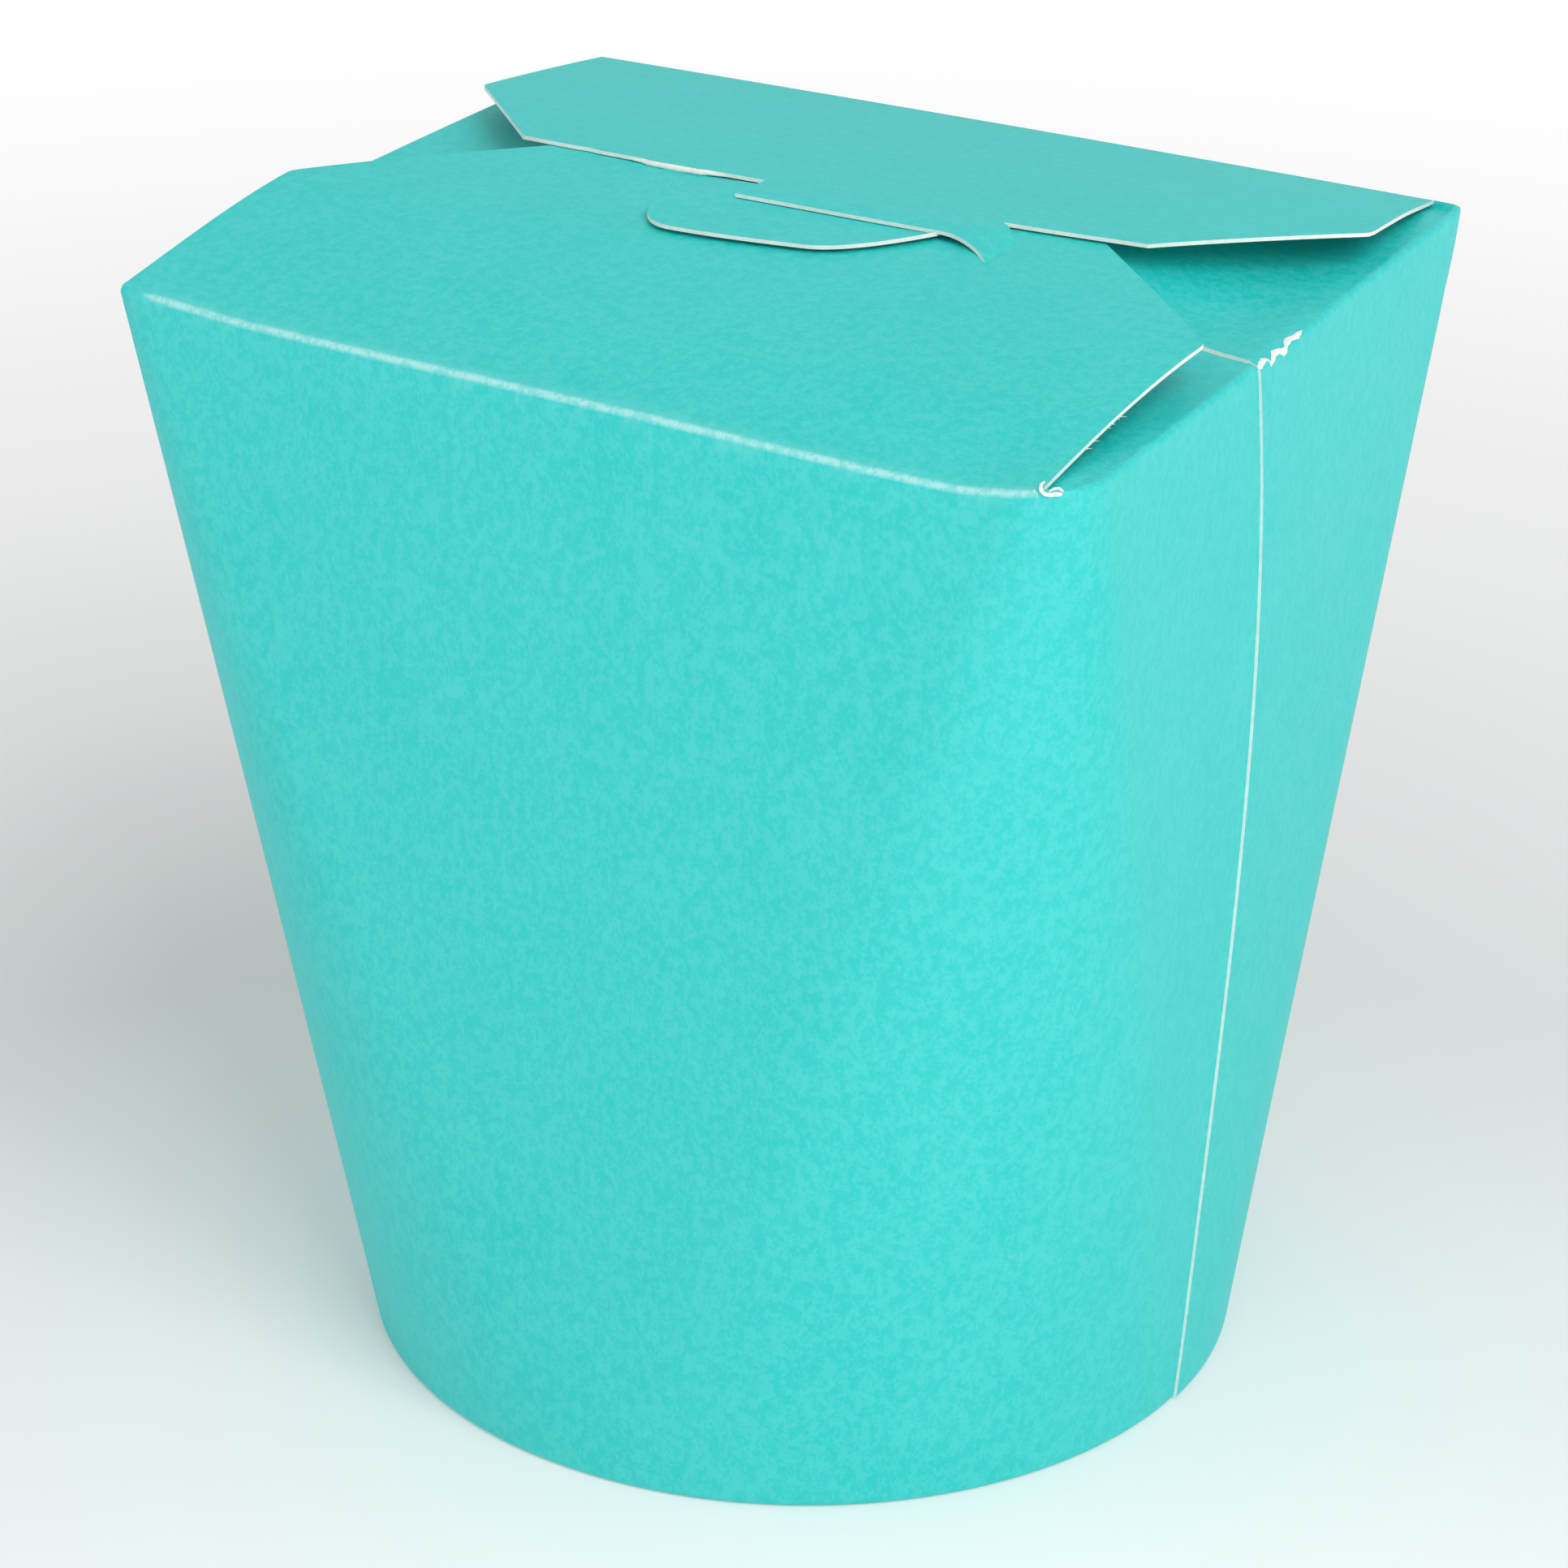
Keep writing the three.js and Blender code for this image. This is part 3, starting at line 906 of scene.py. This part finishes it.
class NOODLEBOX_OT_leaf(bpy.types.Operator):
    """Lay the rounded hook leaf on the front flap, under the tongue"""

    bl_idname = "noodlebox.leaf"
    bl_label = "Hook leaf"

    def execute(self, context):
        size = context.scene.noodle_box_sizes
        front = [bezier(curve, i / 14) for curve in LEAF_OUTLINE for i in range(14)] + [Vector(LEAF_END)]
        left, right = (Vector(end) for end in LEAF_REAR)
        rows = []
        for j in range(15):
            t = 1 - j / 14
            row = []
            for i, point in enumerate(front):
                plan = left.lerp(right, i / (len(front) - 1)).lerp(point, t)
                risen = ease(i / 12)
                over = LEAF_OVER * lerp(0.35, 1, risen) * ease((2.6 - plan.y) / 2.5)
                row.append(over_rim(size, plan, front_height(plan.y) + over + LEAF_CURL * risen * t**5))
            rows.append(row)
        bm = bmesh.new()
        sheet_grid(bm, rows)
        thicken(bm, size.board)
        add_piece("hook_leaf", bm, board_materials(), "carton")
        return {"FINISHED"}


def finer_rows(table, steps):
    """The rows of a table, with each gap between two of them cut into steps."""
    columns, at = list(zip(*table)), np.arange(len(table))
    for place in np.arange(steps * (len(table) - 1) + 1) / steps:
        yield [float(np.interp(place, at, column)) for column in columns]


class NOODLEBOX_OT_tears(bpy.types.Operator):
    """Tear the right crease, curl a strip up at the front flap's corner and fray the flap's edge"""

    bl_idname = "noodlebox.tears"
    bl_label = "Tears and fibres"

    def execute(self, context):
        self.size = context.scene.noodle_box_sizes
        self.board = bpy.data.objects["carton_board"]
        self.random = random.Random(self.size.seed)
        materials = [board_materials()[BARE]] * 2
        for name, bm in (
            ("torn_crease", self.torn_crease()),
            ("edge_curl", self.edge_curl()),
            ("edge_fibres", self.edge_fibres()),
        ):
            add_piece(name, bm, materials)
        return {"FINISHED"}

    def laid(self, point, over):
        """The nearest point of the board, lifted off its face."""
        _, place, normal, _ = self.board.closest_point_on_mesh(point)
        return place + normal * over

    def torn_crease(self, across=4):
        """A ragged ribbon of bare board that hugs the crease."""
        crease_x = max(vert.co.x for vert in self.board.data.vertices if abs(vert.co.y) < 2 * MM)
        rows = []
        for along, off, half in finer_rows(TEAR, 4):
            row = []
            for k in range(across + 1):
                side = 2 * k / across - 1
                ragged = self.random.uniform(-0.05, 0.05) if abs(side) == 1 else 0.0
                reach = off + side * half + ragged
                onto = max(reach, 0.0)
                down = max(-reach, 0.0)
                y = TEAR_START + along + 0.05 * side
                point = Vector((crease_x - onto * MM, y * MM, self.size.rim_height - down * MM))
                row.append(self.laid(point, (0.09 - 0.05 * side * side) * MM))
            rows.append(row)
        bm = bmesh.new()
        sheet_grid(bm, rows)
        bmesh.ops.recalc_face_normals(bm, faces=bm.faces)
        if sum(face.normal.z for face in bm.faces) < 0:
            bmesh.ops.reverse_faces(bm, faces=bm.faces)
        thicken(bm, 0.1 * MM)
        return bm

    def edge_curl(self):
        """A strip of bare board rolled up at the end of the front flap's right edge."""
        centres, radii = [], []
        for x, y, radius in finer_rows(CURL, 5):
            low = Vector((x * MM, y * MM, self.size.rim_height))
            centres.append(self.laid(low, 0.75 * radius * MM))
            radii.append(radius * MM)
        between = [(a + 2 * b + c) / 4 for a, b, c in zip(centres, centres[1:], centres[2:])]
        bm = bmesh.new()
        strand(bm, [centres[0], *between, centres[-1]], radii, sides=12)
        return bm

    def torn_strip(self, bm):
        """A strip of the board's core that hangs from the back flap's free edge."""
        centres, radii = [], []
        for x, radius in finer_rows(FRAY, 6):
            radii.append(radius * self.random.uniform(0.9, 1.1) * MM)
            centres.append(over_rim(self.size, (x, free_edge(x) - 0.08), back_height(x, BACK_TIP) - 0.32))
        strand(bm, centres, radii)

    def edge_fibres(self, count=7):
        """Loose fibres on the front flap's right cut edge, and the strip torn from the back flap."""
        bm = bmesh.new()
        self.torn_strip(bm)
        corners = (FRONT_ROOTS[1], FRONT_SHOULDERS[1], FRONT_TIPS[1])
        for _ in range(count):
            y = self.random.uniform(-37.5, -29.5)
            x = side_edge(*corners, y, FRONT_CREASE, FRONT_SWAYS[1])
            low = over_rim(self.size, (x, y), front_height(y) - 0.3)
            length = self.random.uniform(0.35, 0.8) * MM
            way = Vector((self.random.uniform(0.3, 0.9), self.random.uniform(-1.0, 0.6), 0.2)).normalized()
            droop = Vector((0, 0, -0.25 * length))
            centres = [low + way * length * s + droop * s * s for s in (0.0, 0.35, 0.7, 1.0)]
            strand(bm, centres, [0.03 * MM, 0.03 * MM, 0.022 * MM, 0.008 * MM], sides=6)
        return bm


class NOODLEBOX_OT_base(bpy.types.Operator):
    """Press the base disc, with its rim turned down inside the foot"""

    bl_idname = "noodlebox.base"
    bl_label = "Base disc"

    def execute(self, context):
        low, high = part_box("base_disc")
        radius, top, under = high.x, high.z, low.z
        profile = (  # radius and height, from the middle of the top round the rim to the middle below
            (0, top), (radius - 0.8 * MM, top), (radius - 0.2 * MM, top - 0.1 * MM), (radius, top - 0.3 * MM),
            (radius, under + 0.1 * MM), (radius - 0.3 * MM, under), (radius - 3 * MM, under),
            (radius - 3.6 * MM, under + 0.1 * MM), (0, under + 0.1 * MM),
        )
        bm = bmesh.new()
        verts = [bm.verts.new((x, 0, z)) for x, z in profile]
        edges = [bm.edges.new(pair) for pair in zip(verts, verts[1:])]
        bmesh.ops.spin(
            bm, geom=verts + edges, cent=(0, 0, 0), axis=(0, 0, 1), angle=2 * math.pi, steps=128,
            use_merge=True,
        )
        bmesh.ops.remove_doubles(bm, verts=bm.verts, dist=1e-6)
        bmesh.ops.recalc_face_normals(bm, faces=bm.faces)
        for face in bm.faces:
            face.smooth = True
        keep_sharp(bm)
        add_piece("foot_disc", bm, board_materials(), "base_disc")
        return {"FINISHED"}


class NOODLEBOX_OT_stage(bpy.types.Operator):
    """Lay the floor, light the box and set up the camera"""

    bl_idname = "noodlebox.stage"
    bl_label = "Stage"

    def execute(self, context):
        scene = context.scene
        stage = scene.noodle_box_stage
        scene.view_settings.view_transform = "Standard"
        self.add_floor(scene, stage)
        self.add_lights(scene)
        self.add_camera(scene, stage)
        return {"FINISHED"}

    def add_floor(self, scene, stage):
        """A white floor with painted light: its emission glows in places."""
        bm = bmesh.new()
        bmesh.ops.create_grid(bm, x_segments=1, y_segments=1, size=stage.floor / 2)
        mesh = bpy.data.meshes.new("floor")
        bm.to_mesh(mesh)
        bm.free()
        material, tree, shader = new_material("Floor")
        shader.inputs["Base Color"].default_value = (0.8, 0.8, 0.8, 1)
        shader.inputs["Roughness"].default_value = 0.9
        shader.inputs["Emission Color"].default_value = (1, 1, 1, 1)
        self.light_floor(tree, shader)
        mesh.materials.append(material)
        floor = bpy.data.objects.new("floor", mesh)
        scene.collection.objects.link(floor)

    def light_floor(self, tree, shader):
        """Painted light: the white sweep glows behind the box, and a little in front of its right corner."""
        where = tree.nodes.new("ShaderNodeTexCoord").outputs["Object"]
        glows = []
        for place, near, far, glow_near, glow_far in FLOOR_GLOWS:
            away = tree.nodes.new("ShaderNodeVectorMath")
            away.operation = "DISTANCE"
            away.inputs[1].default_value = place
            tree.links.new(where, away.inputs[0])
            glows.append(range_node(tree, away.outputs["Value"], near, far, glow_near, glow_far))
        tree.links.new(math_node(tree, "ADD", *glows), shader.inputs["Emission Strength"])

    def add_lights(self, scene):
        """An even white sky and one soft key light."""
        world = bpy.data.worlds.new("Studio")
        world.use_nodes = True
        background = world.node_tree.nodes["Background"]
        background.inputs["Color"].default_value = (1, 1, 1, 1)
        background.inputs["Strength"].default_value = SKY_STRENGTH
        scene.world = world
        data = bpy.data.lights.new("key", "AREA")
        data.size = KEY_WIDTH
        data.energy = KEY_POWER
        light = bpy.data.objects.new("key", data)
        light.location = KEY_PLACE
        aim = Vector(KEY_AIM) - light.location
        light.rotation_euler = aim.to_track_quat("-Z", "Y").to_euler()
        scene.collection.objects.link(light)

    def add_camera(self, scene, stage):
        """The camera on its sphere round the box."""
        a, e, roll = stage.azimuth, stage.elevation, stage.roll
        back = Vector((math.sin(a) * math.cos(e), -math.cos(a) * math.cos(e), math.sin(e)))
        right = (-back).cross(Vector((0, 0, 1))).normalized()
        up = right.cross(-back)
        turned = math.cos(roll) * right + math.sin(roll) * up
        upright = math.cos(roll) * up - math.sin(roll) * right
        data = bpy.data.cameras.new("camera")
        data.lens = stage.lens
        data.sensor_width = SENSOR_WIDTH
        data.shift_x, data.shift_y = CAMERA_SHIFT
        data.dof.use_dof = False
        camera = bpy.data.objects.new("camera", data)
        rotation = Matrix((turned, upright, back)).transposed().to_4x4()
        camera.matrix_world = Matrix.Translation(Vector((0, 0, stage.aim)) + back * stage.distance) @ rotation
        scene.collection.objects.link(camera)
        scene.camera = camera


class NOODLEBOX_PT_panel(bpy.types.Panel):
    """The steps that build the box"""

    bl_label = "Noodle box"
    bl_space_type = "VIEW_3D"
    bl_region_type = "UI"
    bl_category = "Noodle box"

    def draw(self, context):
        scene = context.scene
        for operator in OPERATORS:
            self.layout.operator(operator.bl_idname)
        for group in (scene.noodle_box_sizes, scene.noodle_box_looks, scene.noodle_box_stage):
            for name in group.__annotations__:
                self.layout.prop(group, name)


OPERATORS = (
    NOODLEBOX_OT_blank, NOODLEBOX_OT_leaf, NOODLEBOX_OT_tears, NOODLEBOX_OT_base, NOODLEBOX_OT_stage,
)
CLASSES = (NoodleBoxSizes, NoodleBoxLooks, NoodleBoxStage, *OPERATORS, NOODLEBOX_PT_panel)


def register():
    for cls in CLASSES:
        bpy.utils.register_class(cls)
    bpy.types.Scene.noodle_box_sizes = PointerProperty(type=NoodleBoxSizes)
    bpy.types.Scene.noodle_box_looks = PointerProperty(type=NoodleBoxLooks)
    bpy.types.Scene.noodle_box_stage = PointerProperty(type=NoodleBoxStage)


def unregister():
    del bpy.types.Scene.noodle_box_stage
    del bpy.types.Scene.noodle_box_looks
    del bpy.types.Scene.noodle_box_sizes
    for cls in reversed(CLASSES):
        bpy.utils.unregister_class(cls)


def main():
    register()
    bpy.ops.noodlebox.blank()
    bpy.ops.noodlebox.leaf()
    bpy.ops.noodlebox.tears()
    bpy.ops.noodlebox.base()
    bpy.ops.noodlebox.stage()


if __name__ == "__main__":
    main()
